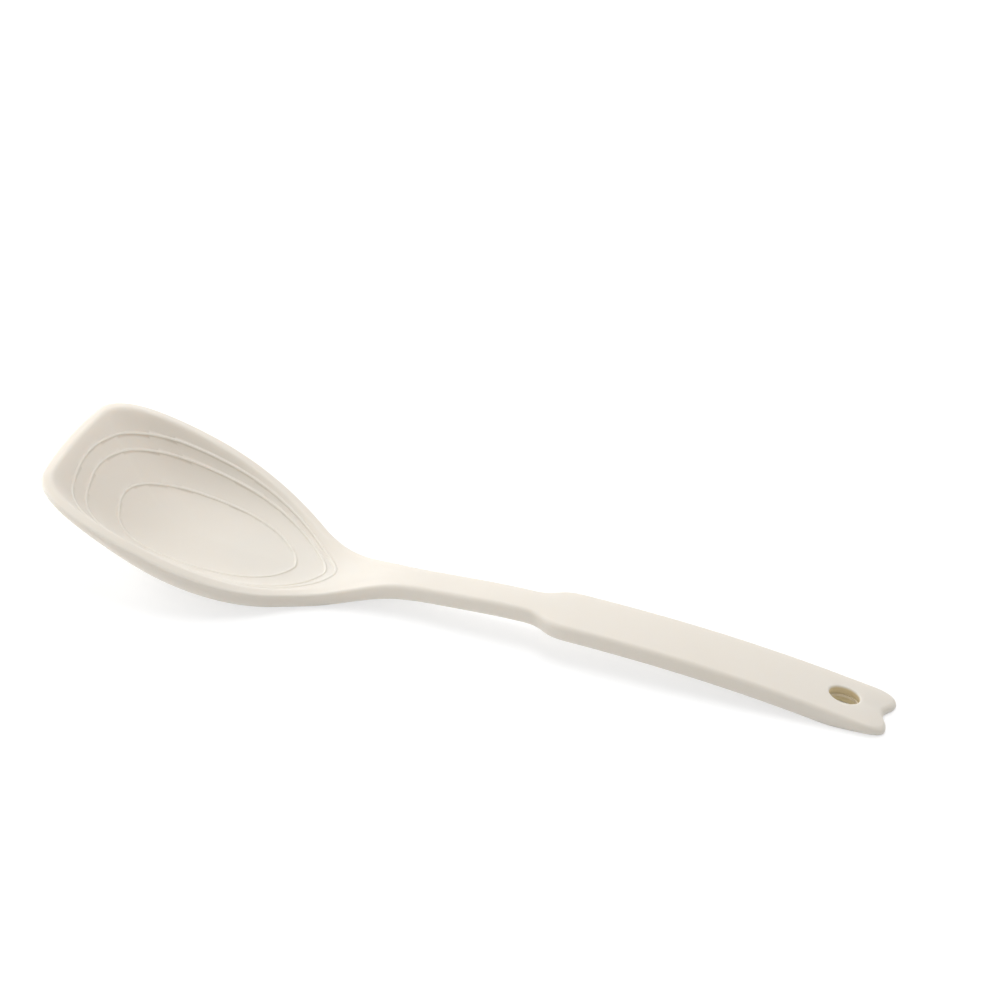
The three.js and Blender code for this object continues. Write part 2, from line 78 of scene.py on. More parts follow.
BOWL_CENTRE_AT = 45.2
BOWL_DEPTH = 14.6
BOWL_END_AT = 115.5
BOWL_RISE = 1.5
FLOOR_THICKNESS = 4.7
TIP_LIP_THICKNESS = 2.8
SIDE_LIP_THICKNESS = 7.2
HEEL_LIP_THICKNESS = 5.6
THICKEST_LIP_SHARE = 1.3
LIP_ROUND = 0.8
LIP_LAND = 2.8
LIP_EASE = 1.0
NECK_THICKNESS = 6.8
GRIP_THICKNESS = 7.0
END_THICKNESS = 3.5
END_TAPER = 22.0
HANDLE_ROUND = 1.9
LOWER_ROUND_SHARE = 0.9
HANDLE_CROWN = 0.4
PARTING_DEPTH = 0.25
PARTING_WIDTH = 0.6


def mix(a, b, share):
    return a + (b - a) * share


def clamp01(value):
    return min(1.0, max(0.0, value))


def ease(start, stop, value):
    share = clamp01((value - start) / (stop - start))
    return share * share * (3.0 - 2.0 * share)


def smooth_through(stations, place):
    """A smooth curve through stations (place, value), level at its first and last one."""
    slopes = [0.0]
    for before, after in zip(stations, stations[2:]):
        slopes.append((after[1] - before[1]) / (after[0] - before[0]))
    slopes.append(0.0)
    i = 0
    while i < len(stations) - 2 and place > stations[i + 1][0]:
        i += 1
    (x0, y0), (x1, y1) = stations[i], stations[i + 1]
    run = x1 - x0
    rise = y1 - y0
    t = clamp01((place - x0) / run)
    bend0 = slopes[i] * run - rise
    bend1 = rise - slopes[i + 1] * run
    return y0 + rise * t + t * (1.0 - t) * (bend0 * (1.0 - t) + bend1 * t)


NECK_STATIONS = [
    (HEEL_AT, HEEL_HEIGHT),
    (NECK_FOOT_AT, NECK_FOOT_HEIGHT),
    (NECK_MID_AT, NECK_MID_HEIGHT),
    (CREST_AT, CREST_HEIGHT),
]


def top_height(place):
    """Height of the top edge over the table, at a distance from the tip."""
    if place < HEEL_AT:
        share = max(0.0, place) / HEEL_AT
        return HEEL_HEIGHT + (TIP_HEIGHT - HEEL_HEIGHT) * (1.0 - share) * (1.0 - share ** TIP_CURL)
    if place < CREST_AT:
        return smooth_through(NECK_STATIONS, place)
    share = (place - CREST_AT) / (LENGTH - CREST_AT)
    return CREST_HEIGHT - (CREST_HEIGHT - END_HEIGHT) * share ** ARCH_TURN


def bowl_depth(place):
    share = clamp01((place - BOWL_CENTRE_AT) / (BOWL_END_AT - BOWL_CENTRE_AT))
    return BOWL_DEPTH * (1.0 - share) ** BOWL_RISE


def handle_thickness(place):
    grown = ease(SHOULDER_FROM, SHOULDER_FROM + SHOULDER_RUN, place)
    taper = ease(LENGTH - END_TAPER, LENGTH, place)
    return mix(mix(NECK_THICKNESS, GRIP_THICKNESS, grown), END_THICKNESS, taper)


def floor_thickness(place):
    return mix(FLOOR_THICKNESS, handle_thickness(place), ease(FLARE_AT, NECK_FOOT_AT, place))


def edge_thickness(place):
    thickest = HEAD_WIDEST_AT * THICKEST_LIP_SHARE
    front = mix(TIP_LIP_THICKNESS, SIDE_LIP_THICKNESS, ease(0.0, thickest, place))
    lip = mix(front, HEEL_LIP_THICKNESS, ease(thickest, HEEL_AT, place))
    return mix(lip, handle_thickness(place), ease(FLARE_AT, NECK_FROM, place))


def upper_round(place):
    return mix(LIP_ROUND, HANDLE_ROUND, ease(FLARE_AT, NECK_FROM, place))


def lower_round(place):
    return min(HANDLE_ROUND, edge_thickness(place) - upper_round(place)) * LOWER_ROUND_SHARE


def crown_height(place):
    """How far the middle of the handle's top stands over its edges."""
    return HANDLE_CROWN * ease(NECK_FROM, SHOULDER_FROM + SHOULDER_RUN, place)


def parting_share(place):
    """How much there is of the fine parting line under the lip. It runs out at the heel."""
    wall = edge_thickness(place) - upper_round(place) - lower_round(place)
    return clamp01(wall / PARTING_WIDTH / 2.0) * (1.0 - ease(HEAD_WIDEST_AT, HEEL_AT, place))


def half_outline():
    """Half of the plan outline as Bezier pieces, from the tip along +Y to the end notch.

    A piece is its number of steps, its start, the pulls of its two handles and its end, each
    point as (place, full width)."""
    tip_turn = 4.0 * TIP_BOW / TIP_EDGE_WIDTH
    corner_run = 0.3 * TIP_EDGE_WIDTH
    side_run = HEAD_WIDEST_AT - CORNER_REACH
    rear_run = FLARE_AT - HEAD_WIDEST_AT
    flare_run = NECK_FROM - FLARE_AT
    flare_fall = (FLARE_WIDTH - NECK_WIDTH) * 0.6
    grip_from = SHOULDER_FROM + SHOULDER_RUN
    lobe_from = LENGTH - LOBE_LENGTH
    pieces = [
        (40, (0.0, 0.0), (0.0, TIP_EDGE_WIDTH / 3.0),
         (TIP_BOW / 3.0, TIP_EDGE_WIDTH / 1.5), (TIP_BOW, TIP_EDGE_WIDTH)),
        (36, (TIP_BOW, TIP_EDGE_WIDTH),
         (TIP_BOW + tip_turn * corner_run / 2.0, TIP_EDGE_WIDTH + corner_run),
         (CORNER_REACH * 0.6, CORNER_WIDTH - CORNER_REACH * 0.3), (CORNER_REACH, CORNER_WIDTH)),
        (30, (CORNER_REACH, CORNER_WIDTH),
         (CORNER_REACH + side_run * 0.24, CORNER_WIDTH + side_run * 0.18),
         (HEAD_WIDEST_AT - side_run * 0.37, HEAD_WIDTH), (HEAD_WIDEST_AT, HEAD_WIDTH)),
        (60, (HEAD_WIDEST_AT, HEAD_WIDTH), (HEAD_WIDEST_AT + rear_run * 0.44, HEAD_WIDTH),
         (FLARE_AT - flare_run * 0.22, FLARE_WIDTH + flare_fall * 0.77), (FLARE_AT, FLARE_WIDTH)),
        (56, (FLARE_AT, FLARE_WIDTH), (FLARE_AT + flare_run * 0.28, FLARE_WIDTH - flare_fall),
         (NECK_FROM - flare_run * 0.36, NECK_WIDTH), (NECK_FROM, NECK_WIDTH)),
        (14, (NECK_FROM, NECK_WIDTH), (mix(NECK_FROM, SHOULDER_FROM, 1 / 3), NECK_WIDTH),
         (mix(NECK_FROM, SHOULDER_FROM, 2 / 3), NECK_WIDTH), (SHOULDER_FROM, NECK_WIDTH)),
        (22, (SHOULDER_FROM, NECK_WIDTH), (SHOULDER_FROM + SHOULDER_RUN * 0.55, NECK_WIDTH),
         (SHOULDER_FROM + SHOULDER_RUN * 0.4, GRIP_WIDTH), (grip_from, GRIP_WIDTH)),
        (30, (grip_from, GRIP_WIDTH),
         (mix(grip_from, lobe_from, 1 / 3), mix(GRIP_WIDTH, END_WIDTH, 1 / 3)),
         (mix(grip_from, lobe_from, 2 / 3), mix(GRIP_WIDTH, END_WIDTH, 2 / 3)),
         (lobe_from, END_WIDTH)),
        (20, (lobe_from, END_WIDTH), (LENGTH - LOBE_LENGTH * 0.4, END_WIDTH),
         (LENGTH, mix(LOBE_SPREAD, END_WIDTH, 0.65)), (LENGTH, LOBE_SPREAD)),
        (18, (LENGTH, LOBE_SPREAD), (LENGTH, LOBE_SPREAD * 0.57),
         (LENGTH - NOTCH_DEPTH, LOBE_SPREAD * 0.37), (LENGTH - NOTCH_DEPTH, 0.0)),
    ]
    points = []
    for steps, *pulls in pieces:
        corners = [Vector((x, width / 2.0, 0.0)) for x, width in pulls]
        points.extend(interpolate_bezier(*corners, steps + 1)[:-1])
    points.append(Vector((LENGTH - NOTCH_DEPTH, 0.0, 0.0)))
    return points


# The columns lean towards the bowl's middle and the handle's end. The bowl's wall is gentle
# at the tip and steeper along the sides.
SPINE_CROWD = 1.8
TIP_WALL_POWER = 1.8
SIDE_WALL_POWER = 3.3
SIDE_WALL_FROM = 0.45
CORNER_FADE = 4.0
END_FAN_REACH = 2.5 * LOBE_LENGTH
END_SPINE_REACH = 2.0 * LOBE_LENGTH
END_SPINE_STEP = LOBE_LENGTH / 4.0


class Column:
    """A line in plan from the outline in to the middle line, like a fish bone."""

    def __init__(self, edge, spine, wall_power, corner_share):
        self.edge = edge
        self.spine = spine
        self.wall_power = wall_power
        self.corner_share = corner_share
        self.length = math.hypot(edge.x - spine, edge.y)
        self.on_handle = edge.x >= NECK_FROM
        self.upper_round = upper_round(edge.x)
        self.lower_round = lower_round(edge.x)
        self.floor = top_height(spine) - bowl_depth(spine)
        self.underside = self.floor - floor_thickness(spine)

    def point(self, inset, height):
        share = inset / self.length
        return Vector((mix(self.edge.x, self.spine, share), self.edge.y * (1.0 - share), height))

    def rim_place(self, inset):
        return mix(self.edge.x, self.spine, inset / self.length) if self.on_handle else self.edge.x

    def rim(self, inset):
        return top_height(self.rim_place(inset))

    def foot(self, inset):
        return self.rim(inset) - edge_thickness(self.rim_place(inset))

    def top(self, inset):
        if self.on_handle:
            inward = (inset - self.upper_round) / (self.length - self.upper_round)
            crown = crown_height(self.rim_place(inset)) * inward * (2.0 - inward)
            return self.point(inset, self.rim(inset) + crown)
        start = self.upper_round + LIP_LAND
        eased = math.hypot(max(0.0, inset - start), LIP_EASE) - LIP_EASE
        run = math.hypot(self.length - start, LIP_EASE) - LIP_EASE
        share = 1.0 - (1.0 - clamp01(eased / run)) ** self.wall_power
        return self.point(inset, mix(self.rim(inset), self.floor, share))

    def bottom(self, inset):
        if self.on_handle:
            return self.point(inset, self.foot(inset))
        share = clamp01((inset - self.lower_round) / (self.length - self.lower_round))
        share = 1.0 - (1.0 - share) ** self.wall_power
        return self.point(inset, mix(self.foot(inset), self.underside, share))

    def upper_edge(self, angle):
        inset = self.upper_round * (1.0 - math.sin(angle))
        return self.point(inset, self.rim(inset) - self.upper_round * (1.0 - math.cos(angle)))

    def parting(self, share):
        size = parting_share(self.edge.x)
        deep = PARTING_DEPTH * size * (1.0 - abs(2.0 * share - 1.0))
        return self.point(deep, self.rim(0.0) - self.upper_round - PARTING_WIDTH * size * share)

    def lower_edge(self, angle):
        inset = self.lower_round * (1.0 - math.cos(angle))
        return self.point(inset, self.foot(inset) + self.lower_round * (1.0 - math.sin(angle)))


def make_columns():
    outline = half_outline()
    lengths = [0.0]
    for before, after in zip(outline, outline[1:]):
        lengths.append(lengths[-1] + (after - before).length)
    corner_at = next(d for d, p in zip(lengths, outline) if p.x > CORNER_REACH / 3.0)
    neck_index = next(i for i, p in enumerate(outline) if p.x >= NECK_FROM - 1e-4)
    end_index = next(i for i, p in enumerate(outline) if p.x >= LENGTH - END_FAN_REACH)
    spine_end = max(LENGTH - END_SPINE_REACH, outline[end_index].x + END_SPINE_STEP)
    columns = []
    for i, edge in enumerate(outline):
        head_share = lengths[i] / lengths[neck_index]
        spine = edge.x
        if i < neck_index:
            spine = mix(BOWL_CENTRE_AT, outline[neck_index].x, head_share ** SPINE_CROWD)
        elif i > end_index:
            end_share = (lengths[i] - lengths[end_index]) / (lengths[-1] - lengths[end_index])
            spine = mix(spine_end, outline[end_index].x, (1.0 - end_share) ** SPINE_CROWD)
        wall_power = mix(TIP_WALL_POWER, SIDE_WALL_POWER, ease(0.0, SIDE_WALL_FROM, head_share))
        from_corner = CORNER_FADE * (lengths[i] - corner_at) / CORNER_WIDTH
        columns.append(Column(edge, spine, wall_power, math.exp(-from_corner ** 2)))
    return columns


columns = make_columns()

# Rows from the bowl's middle line out over the lip, down the side and back underneath.
TOP_ROWS = 54
EDGE_ROWS = 8
BOTTOM_ROWS = 20
TOP_CROWD = 1.15
BOTTOM_CROWD = 1.3
PARTING_ROWS = (0.35, 0.5, 0.65, 1.0)
row_makers = []
for k in range(TOP_ROWS):
    near_lip = (1.0 - k / TOP_ROWS) ** TOP_CROWD
    row_makers.append(lambda c, s=near_lip: c.top(mix(c.upper_round, c.length, s)))
for k in range(EDGE_ROWS + 1):
    row_makers.append(lambda c, a=0.5 * math.pi * k / EDGE_ROWS: c.upper_edge(a))
for share in PARTING_ROWS:
    row_makers.append(lambda c, s=share: c.parting(s))
for k in range(EDGE_ROWS + 1):
    row_makers.append(lambda c, a=0.5 * math.pi * k / EDGE_ROWS: c.lower_edge(a))
for k in range(1, BOTTOM_ROWS + 1):
    from_lip = (k / BOTTOM_ROWS) ** BOTTOM_CROWD
    row_makers.append(lambda c, s=from_lip: c.bottom(mix(c.lower_round, c.length, s)))


def only(piece):
    bpy.ops.object.select_all(action="DESELECT")
    piece.select_set(True)
    bpy.context.view_layer.objects.active = piece


def apply_modifier(piece, name, kind, **settings):
    only(piece)
    modifier = piece.modifiers.new(name, kind)
    for key, value in settings.items():
        setattr(modifier, key, value)
    bpy.ops.object.modifier_apply(modifier=name)


def in_frame(point):
    return Vector(((point.x - LENGTH / 2.0) * MM, point.y * MM, point.z * MM))


# A grid sheet is bent over half of the spoon, row by row, and mirrored to close the form.
WELD = 2e-6
bpy.ops.object.select_all(action="DESELECT")
bpy.ops.mesh.primitive_grid_add(
    x_subdivisions=len(columns) - 1, y_subdivisions=len(row_makers) - 1, size=2.0)
skin = bpy.context.object
skin.name = "silicone_moulding"
for vertex in skin.data.vertices:
    column = columns[round((vertex.co.x + 1.0) / 2.0 * (len(columns) - 1))]
    maker = row_makers[round((vertex.co.y + 1.0) / 2.0 * (len(row_makers) - 1))]
    vertex.co = in_frame(maker(column))
    vertex.co.z = max(0.0, vertex.co.z)
apply_modifier(skin, "both_halves", "MIRROR", use_axis=(False, True, False), merge_threshold=WELD)

only(skin)
bpy.ops.object.mode_set(mode="EDIT")
bpy.ops.mesh.select_all(action="SELECT")
bpy.ops.mesh.remove_doubles(threshold=2.0 * WELD)
bpy.ops.mesh.normals_make_consistent(inside=False)
bpy.ops.object.mode_set(mode="OBJECT")

# A bead is a round cord, half sunk in the bowl, that closes before the neck.
BEAD_SHARES = (0.175, 0.264, 0.48)
BEAD_ENDS_AT = (104.5, 100.5, 88.9)
BEAD_CORNER = 0.03
BEAD_RADIUS = 0.6
BEAD_HEIGHT = 0.4
BEAD_STEPS = 440
BEAD_SIDES = 14
BEAD_SAMPLES = 400
BEAD_CLOSING = 5
spines = [column.spine for column in columns if not column.on_handle]


def column_at(spine):
    i = min(len(spines) - 2, max(0, bisect.bisect_right(spines, spine) - 1))
    share = (spine - spines[i]) / (spines[i + 1] - spines[i])
    a, b = columns[i], columns[i + 1]
    return Column(
        a.edge.lerp(b.edge, share), spine,
        mix(a.wall_power, b.wall_power, share), mix(a.corner_share, b.corner_share, share),
    )


def bead_path(share, end_at):
    """Evenly spaced points on the bowl's surface, once round the bead."""
    half = []
    for k in range(BEAD_SAMPLES):
        along = math.sin(0.5 * math.pi * k / BEAD_SAMPLES)
        column = column_at(mix(BOWL_CENTRE_AT, end_at, along))
        rounded = share + BEAD_CORNER * column.corner_share
        inward = 1.0 - (1.0 - rounded) * math.sqrt(1.0 - along ** BEAD_CLOSING)
        half.append(in_frame(column.top(inward * column.length)))
    half.append(in_frame(Vector((end_at, 0.0, top_height(end_at) - bowl_depth(end_at)))))
    loop = half + [Vector((p.x, -p.y, p.z)) for p in reversed(half[1:-1])] + half[:1]
    lengths = [0.0]
    for before, after in zip(loop, loop[1:]):
        lengths.append(lengths[-1] + (after - before).length)
    path = []
    i = 0
    for k in range(BEAD_STEPS):
        wanted = lengths[-1] * k / BEAD_STEPS
        while lengths[i + 1] < wanted:
            i += 1
        path.append(loop[i].lerp(loop[i + 1], (wanted - lengths[i]) / (lengths[i + 1] - lengths[i])))
    return path


for share, end_at in zip(BEAD_SHARES, BEAD_ENDS_AT):
    bpy.ops.object.select_all(action="DESELECT")
    bpy.ops.mesh.primitive_torus_add(
        major_segments=BEAD_STEPS, minor_segments=BEAD_SIDES, major_radius=1.0, minor_radius=0.25)
    cord = bpy.context.object
    path = bead_path(share, end_at)
    for vertex in cord.data.vertices:
        turn = math.atan2(vertex.co.y, vertex.co.x)
        angle = math.atan2(vertex.co.z, math.hypot(vertex.co.x, vertex.co.y) - 1.0)
        step = round(turn / math.tau * BEAD_STEPS) % BEAD_STEPS
        _, centre, normal, _ = skin.closest_point_on_mesh(path[step])
        forward = path[(step + 1) % BEAD_STEPS] - path[step - 1]
        across = forward.cross(normal).normalized()
        rise = BEAD_HEIGHT - BEAD_RADIUS + BEAD_RADIUS * math.sin(angle)
        vertex.co = centre + (normal * rise + across * (BEAD_RADIUS * math.cos(angle))) * MM
    only(cord)
    bpy.ops.object.mode_set(mode="EDIT")
    bpy.ops.mesh.select_all(action="SELECT")
    bpy.ops.mesh.normals_make_consistent(inside=False)
    bpy.ops.object.mode_set(mode="OBJECT")
    apply_modifier(skin, "bead", "BOOLEAN", object=cord, operation="UNION", solver="EXACT")
    bpy.data.objects.remove(cord)

# The hang hole goes square through the handle, with both its edges rounded over.
HOLE_LENGTH = 11.0
HOLE_WIDTH = 7.7
HOLE_FROM_END = 17.1
HOLE_ROUND = 0.7
HOLE_SIDES = 96
HOLE_ROUND_STEPS = 6
HOLE_SLOPE_REACH = 4.0
HOLE_CROWN_SHARE = 0.9
CUT_OVERRUN = 2.0
hole_at = LENGTH - HOLE_FROM_END
hole_fall = top_height(hole_at - HOLE_SLOPE_REACH) - top_height(hole_at + HOLE_SLOPE_REACH)
hole_tilt = math.atan(hole_fall / (2.0 * HOLE_SLOPE_REACH))
hole_deep = handle_thickness(hole_at) + crown_height(hole_at) * HOLE_CROWN_SHARE
hole_half = hole_deep * math.cos(hole_tilt) / 2.0
hole_rings = [(HOLE_ROUND, hole_half + CUT_OVERRUN)]
for k in reversed(range(HOLE_ROUND_STEPS + 1)):
    angle = 0.5 * math.pi * k / HOLE_ROUND_STEPS
    grow = HOLE_ROUND * (1 - math.cos(angle))
    hole_rings.append((grow, hole_half - HOLE_ROUND * (1 - math.sin(angle))))
hole_rings += [(grow, -height) for grow, height in reversed(hole_rings)]
bpy.ops.object.select_all(action="DESELECT")
bpy.ops.mesh.primitive_circle_add(vertices=HOLE_SIDES, radius=HOLE_WIDTH / 2.0 * MM, fill_type="NGON")
cutter = bpy.context.object
bpy.ops.object.mode_set(mode="EDIT")
bpy.ops.mesh.select_all(action="SELECT")
bpy.ops.transform.resize(value=(HOLE_LENGTH / HOLE_WIDTH, 1.0, 1.0))
grow_before, height_before = 0.0, 0.0
for number, (grow, height) in enumerate(hole_rings):
    if number:
        bpy.ops.mesh.extrude_region_move()
    bpy.ops.transform.translate(value=(0.0, 0.0, (height - height_before) * MM))
    bpy.ops.transform.resize(value=(
        (HOLE_LENGTH / 2.0 + grow) / (HOLE_LENGTH / 2.0 + grow_before),
        (HOLE_WIDTH / 2.0 + grow) / (HOLE_WIDTH / 2.0 + grow_before),
        1.0,
    ))
    grow_before, height_before = grow, height
bpy.ops.mesh.select_all(action="SELECT")
bpy.ops.mesh.normals_make_consistent(inside=False)
bpy.ops.object.mode_set(mode="OBJECT")
cutter.rotation_euler = Euler((0.0, hole_tilt, 0.0))
hole_middle = top_height(hole_at) - handle_thickness(hole_at) + hole_deep / 2.0
hole_centre = in_frame(Vector((hole_at, 0.0, hole_middle)))
cutter.location = hole_centre
apply_modifier(skin, "hang_hole", "BOOLEAN", object=cutter, operation="DIFFERENCE", solver="EXACT")
bpy.data.objects.remove(cutter)

# The silicone fills every slot of the core and lies on the steel with no gap.
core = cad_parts["steel_core"]
bed = bpy.data.objects.new("core_bed", core.data.copy())
bpy.context.collection.objects.link(bed)
only(bed)
bpy.ops.object.mode_set(mode="EDIT")
bpy.ops.mesh.select_all(action="SELECT")
bpy.ops.mesh.remove_doubles(threshold=WELD)
bpy.ops.object.mode_set(mode="OBJECT")
apply_modifier(skin, "core_bed", "BOOLEAN", object=bed, operation="DIFFERENCE", solver="EXACT")
bpy.data.objects.remove(bed)
SHARP_ANGLE = math.radians(40.0)
only(skin)
bpy.ops.object.shade_smooth_by_angle(angle=SHARP_ANGLE)

# The rim of the hang hole is a hard line in the shading, so the flat top keeps its even tone.
RIM_BAND = 0.03
unturn = Euler((0.0, -hole_tilt, 0.0)).to_matrix()
rim_radii = Vector((HOLE_LENGTH / 2.0 + HOLE_ROUND, HOLE_WIDTH / 2.0 + HOLE_ROUND)) * MM


def on_hole_rim(vertex):
    place = unturn @ (vertex.co - hole_centre)
    if place.z < 0.0:
        return False
    radius = math.hypot(place.x / rim_radii.x, place.y / rim_radii.y)
    return abs(radius - 1.0) < RIM_BAND


rim_vertices = {vertex.index for vertex in skin.data.vertices if on_hole_rim(vertex)}
for edge in skin.data.edges:
    if rim_vertices.issuperset(edge.vertices):
        edge.use_edge_sharp = True


def new_material(name):
    material = bpy.data.materials.new(name)
    material.use_nodes = True
    return material, material.node_tree.nodes, material.node_tree.links


def add_node(nodes, kind, **values):
    node = nodes.new(kind)
    for name, value in values.items():
        node.inputs[name.replace("_", " ")].default_value = value
    return node


SILICONE_LIGHT = (0.835, 0.790, 0.720, 1.0)
SILICONE_DEEP = (0.805, 0.752, 0.672, 1.0)
# Painted shade on the hang hole's wall, yellow-brown, and darker deeper down.
HOLE_WALL_PAINTED_SHADE = (0.55, 0.465, 0.295, 1.0)
HOLE_WALL_PAINTED_SHADE_DEEP = (0.52, 0.445, 0.28, 1.0)
silicone, nodes, links = new_material("cream_silicone")
shader = nodes["Principled BSDF"]
place = nodes.new("ShaderNodeTexCoord")
cloud = add_node(nodes, "ShaderNodeTexNoise", Scale=18.0, Detail=3.0)
tone = nodes.new("ShaderNodeMix")
tone.data_type = "RGBA"
tone.inputs["A"].default_value = SILICONE_LIGHT
tone.inputs["B"].default_value = SILICONE_DEEP
links.new(place.outputs["Object"], cloud.inputs["Vector"])
links.new(cloud.outputs["Fac"], tone.inputs["Factor"])
haze = add_node(nodes, "ShaderNodeTexNoise", Scale=260.0, Detail=4.0)
matt = add_node(nodes, "ShaderNodeMapRange", To_Min=0.46, To_Max=0.60)
links.new(place.outputs["Object"], haze.inputs["Vector"])
links.new(haze.outputs["Fac"], matt.inputs["Value"])
links.new(matt.outputs["Result"], shader.inputs["Roughness"])
grain = add_node(nodes, "ShaderNodeTexNoise", Scale=2600.0, Detail=3.0)
bump = add_node(nodes, "ShaderNodeBump", Strength=0.12, Distance=0.00004)
links.new(place.outputs["Object"], grain.inputs["Vector"])
links.new(grain.outputs["Fac"], bump.inputs["Height"])
links.new(bump.outputs["Normal"], shader.inputs["Normal"])
# The wall of the hang hole carries painted shade: a yellow-brown tint for the shade and warmer bounce
# light in the hole, darker deeper down, and a weak painted glow for the light that comes through.
hole_place = nodes.new("ShaderNodeMapping")
hole_place.vector_type = "TEXTURE"
hole_place.inputs["Location"].default_value = hole_centre
hole_place.inputs["Rotation"].default_value = (0.0, hole_tilt, 0.0)
hole_place.inputs["Scale"].default_value = (
    HOLE_LENGTH / 2.0 * MM, HOLE_WIDTH / 2.0 * MM, hole_half * MM)
axes = nodes.new("ShaderNodeSeparateXYZ")
flat = nodes.new("ShaderNodeVectorMath")
flat.operation = "MULTIPLY"
flat.inputs[1].default_value = (1.0, 1.0, 0.0)
radius = nodes.new("ShaderNodeVectorMath")
radius.operation = "LENGTH"
within = add_node(nodes, "ShaderNodeMapRange", From_Min=1.02, From_Max=1.14, To_Min=1.0, To_Max=0.0)
sunk = add_node(nodes, "ShaderNodeMapRange", From_Min=0.92, From_Max=0.70, To_Min=0.0, To_Max=1.0)
wall = nodes.new("ShaderNodeMath")
wall.operation = "MULTIPLY"
tone_and_painted_hole_shade = nodes.new("ShaderNodeMix")
tone_and_painted_hole_shade.data_type = "RGBA"
deep = add_node(nodes, "ShaderNodeMapRange", From_Min=0.35, From_Max=-0.25)
painted_hole_shade = nodes.new("ShaderNodeMix")
painted_hole_shade.data_type = "RGBA"
painted_hole_shade.inputs["A"].default_value = HOLE_WALL_PAINTED_SHADE
painted_hole_shade.inputs["B"].default_value = HOLE_WALL_PAINTED_SHADE_DEEP
links.new(place.outputs["Object"], hole_place.inputs["Vector"])
links.new(hole_place.outputs["Vector"], axes.inputs["Vector"])
links.new(hole_place.outputs["Vector"], flat.inputs[0])
links.new(flat.outputs["Vector"], radius.inputs[0])
links.new(radius.outputs["Value"], within.inputs["Value"])
links.new(axes.outputs["Z"], sunk.inputs["Value"])
links.new(axes.outputs["Z"], deep.inputs["Value"])
links.new(deep.outputs["Result"], painted_hole_shade.inputs["Factor"])
links.new(painted_hole_shade.outputs["Result"], tone_and_painted_hole_shade.inputs["B"])
links.new(painted_hole_shade.outputs["Result"], shader.inputs["Emission Color"])
links.new(within.outputs["Result"], wall.inputs[0])
links.new(sunk.outputs["Result"], wall.inputs[1])
links.new(wall.outputs["Value"], tone_and_painted_hole_shade.inputs["Factor"])
links.new(tone.outputs["Result"], tone_and_painted_hole_shade.inputs["A"])
links.new(tone_and_painted_hole_shade.outputs["Result"], shader.inputs["Base Color"])
# A painted glow on the hole's wall stands in for the light that comes through the silicone.
glow = add_node(nodes, "ShaderNodeMapRange", To_Min=0.0, To_Max=0.27)
links.new(wall.outputs["Value"], glow.inputs["Value"])
links.new(glow.outputs["Result"], shader.inputs["Emission Strength"])
shader.inputs["Specular IOR Level"].default_value = 0.4
shader.inputs["Subsurface Weight"].default_value = 0.8
shader.inputs["Subsurface Radius"].default_value = (1.0, 0.95, 0.88)
shader.inputs["Subsurface Scale"].default_value = 0.0025
skin.data.materials.append(silicone)
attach(skin, "root")
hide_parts("silicone_skin")

# Steel core.
# A strip stamped from stainless sheet and pressed to the spoon's curve. The silicone hides
# it, apart from the rim of its eye, which stands as a narrow ledge in the hang hole.

# The pale and dark streaks are the steel's brushed grain; the yellow-brown tint of both is a painted
# reflection of the hang hole's shaded wall.
STEEL_PALE_STREAK_TAN_REFLECTION = (0.77, 0.70, 0.57, 1.0)
STEEL_DARK_STREAK_TAN_REFLECTION = (0.67, 0.61, 0.49, 1.0)
steel, nodes, links = new_material("rolled_steel")
shader = nodes["Principled BSDF"]
place = nodes.new("ShaderNodeTexCoord")
along = nodes.new("ShaderNodeMapping")
along.inputs["Scale"].default_value = (20.0, 1500.0, 1500.0)
lines = add_node(nodes, "ShaderNodeTexNoise", Scale=1.0, Detail=3.0)
tone = nodes.new("ShaderNodeMix")
tone.data_type = "RGBA"
tone.inputs["A"].default_value = STEEL_PALE_STREAK_TAN_REFLECTION
tone.inputs["B"].default_value = STEEL_DARK_STREAK_TAN_REFLECTION
links.new(place.outputs["Object"], along.inputs["Vector"])
links.new(along.outputs["Vector"], lines.inputs["Vector"])
links.new(lines.outputs["Fac"], tone.inputs["Factor"])
links.new(tone.outputs["Result"], shader.inputs["Base Color"])
brushed = add_node(nodes, "ShaderNodeMapRange", To_Min=0.5, To_Max=0.68)
links.new(lines.outputs["Fac"], brushed.inputs["Value"])
links.new(brushed.outputs["Result"], shader.inputs["Roughness"])
shader.inputs["Metallic"].default_value = 1.0
core.data.materials.clear()
core.data.materials.append(steel)

# Table, light and camera.
# A white studio table, one soft light on the left, one overhead, a weak fill beside the bowl,
# and a long lens at the angle from which the spoon is seen.

TABLE_SIZE = 6.0
TABLE_DROP = 0.0002
bpy.ops.object.select_all(action="DESELECT")
bpy.ops.mesh.primitive_plane_add(size=TABLE_SIZE, location=(0.0, 0.0, -TABLE_DROP))
table = bpy.context.object
table.name = "table"


def background_rays(nodes, links):
    """The rays that see the plain white background: straight from the camera or off a shine."""
    rays = nodes.new("ShaderNodeLightPath")
    total = rays.outputs["Is Camera Ray"]
    for kind in ("Is Glossy Ray", "Is Transmission Ray"):
        either = nodes.new("ShaderNodeMath")
        either.operation = "MAXIMUM"
        links.new(total, either.inputs[0])
        links.new(rays.outputs[kind], either.inputs[1])
        total = either.outputs["Value"]
    return total


white, nodes, links = new_material("white_table")
nodes.remove(nodes["Principled BSDF"])
paper = add_node(nodes, "ShaderNodeBsdfDiffuse", Color=(0.96, 0.96, 0.96, 1.0))
glow = add_node(nodes, "ShaderNodeEmission", Color=(1.0, 1.0, 1.0, 1.0), Strength=1.2)
